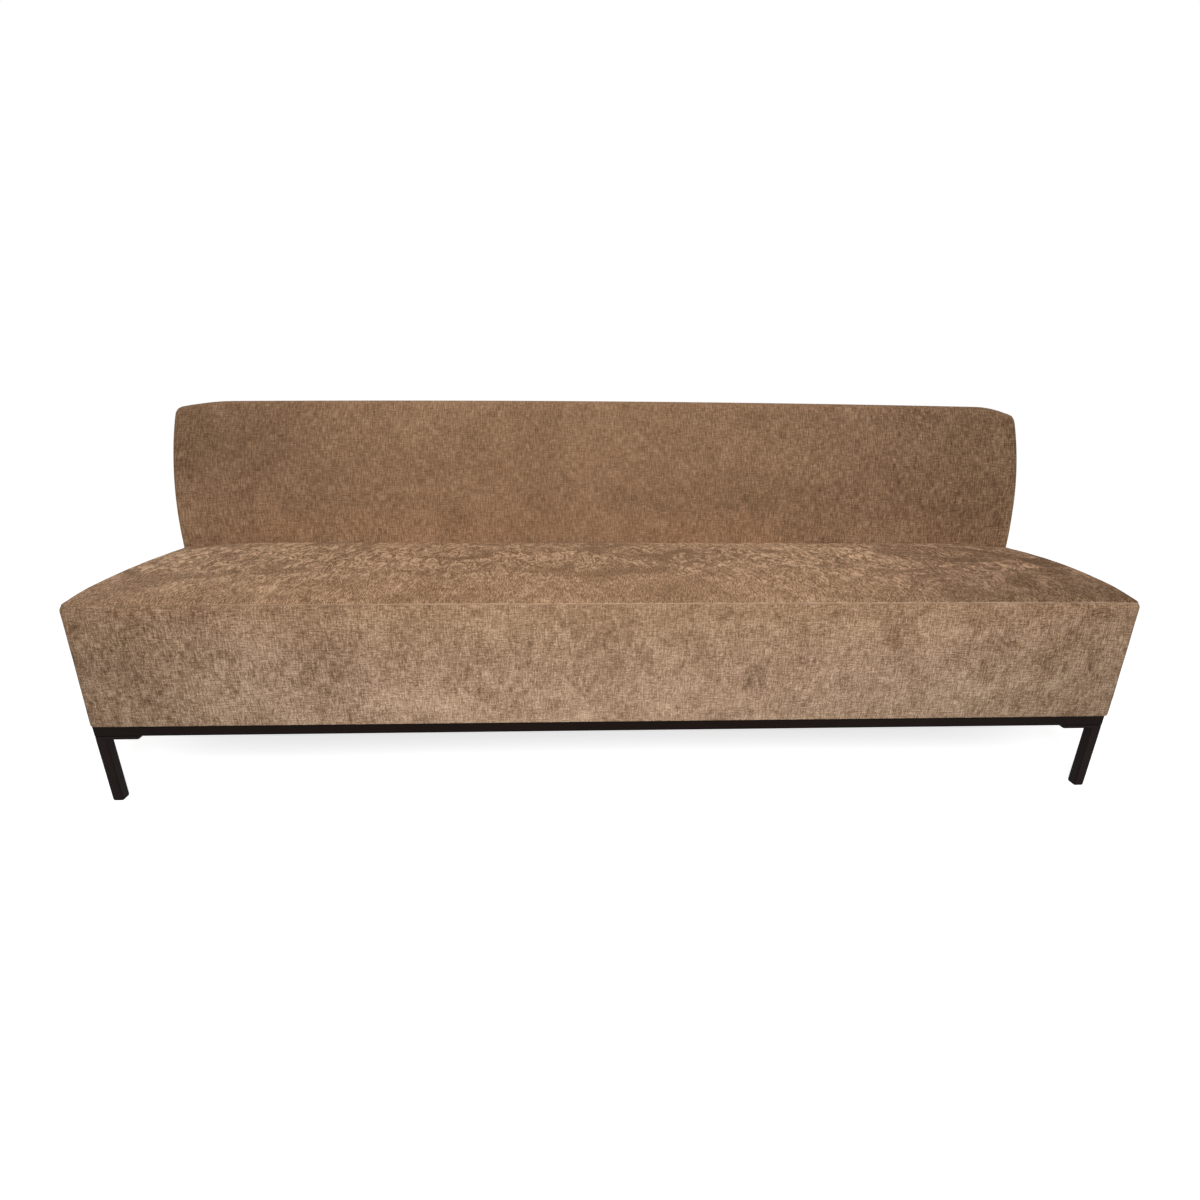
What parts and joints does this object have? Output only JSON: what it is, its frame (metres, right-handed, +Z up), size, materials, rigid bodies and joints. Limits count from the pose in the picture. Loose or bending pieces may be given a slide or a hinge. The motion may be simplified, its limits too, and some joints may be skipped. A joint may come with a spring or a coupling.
{
  "type": "dining sofa",
  "caption": "Armless upholstered dining sofa: a boxed crowned bench seat and a curved plain back of the same length on a slim black base with square legs.",
  "frame": {"origin": "on the floor, under the middle of the sofa's box", "axes": "+X along the length, to the right as seen from the front; -Y towards the front; +Z up"},
  "size_m": [2.24, 0.6414, 0.8407],
  "materials": {
    "leg_steel": "satin black powder coat",
    "glide_plastic": "matte black",
    "fixings": "zinc plated",
    "base_lacquer": "satin black lacquer",
    "frame_timber": "planed pine",
    "plywood": "birch plywood",
    "webbing": "woven elastic strap",
    "foam": "open-cell foam",
    "upholstery": "taupe chenille velvet, crushed pile",
    "dust_cloth": "black non-woven cambric"
  },
  "bodies": {
    "root": {"leg_tube_front_left": "leg_steel", "leg_tube_front_right": "leg_steel", "leg_tube_rear_left": "leg_steel", "leg_tube_rear_right": "leg_steel", "leg_plate_front_left": "leg_steel", "leg_plate_front_right": "leg_steel", "leg_plate_rear_left": "leg_steel", "leg_plate_rear_right": "leg_steel", "leg_glide_front_left": "glide_plastic", "leg_glide_front_right": "glide_plastic", "leg_glide_rear_left": "glide_plastic", "leg_glide_rear_right": "glide_plastic", "leg_screw_front_left_1": "fixings", "leg_screw_front_left_2": "fixings", "leg_screw_front_right_1": "fixings", "leg_screw_front_right_2": "fixings", "leg_screw_rear_left_1": "fixings", "leg_screw_rear_left_2": "fixings", "leg_screw_rear_right_1": "fixings", "leg_screw_rear_right_2": "fixings", "base_rail_front": "base_lacquer", "base_rail_rear": "base_lacquer", "base_rail_left": "base_lacquer", "base_rail_right": "base_lacquer", "base_crossbar_left": "base_lacquer", "base_crossbar_right": "base_lacquer", "seat_board_front": "frame_timber", "seat_board_rear": "frame_timber", "seat_board_left": "frame_timber", "seat_board_right": "frame_timber", "seat_crossboard_left": "frame_timber", "seat_crossboard_right": "frame_timber", "seat_corner_block_front_left": "frame_timber", "seat_corner_block_front_right": "frame_timber", "seat_corner_block_rear_left": "frame_timber", "seat_corner_block_rear_right": "frame_timber", "seat_webbing": "webbing", "seat_foam": "foam", "seat_padding_front": "foam", "seat_padding_left": "foam", "seat_padding_right": "foam", "seat_cover": "upholstery", "dust_cover": "dust_cloth", "back_rib_left": "plywood", "back_rib_mid_left": "plywood", "back_rib_mid_right": "plywood", "back_rib_right": "plywood", "back_lower_board": "frame_timber", "back_top_rail": "frame_timber", "back_panel": "plywood", "back_foam": "foam", "back_cover": "upholstery", "back_outer_cover": "upholstery", "back_bolt_left": "fixings", "back_bolt_middle": "fixings", "back_bolt_right": "fixings", "back_nut_left": "fixings", "back_nut_middle": "fixings", "back_nut_right": "fixings"}
  },
  "joints": []
}
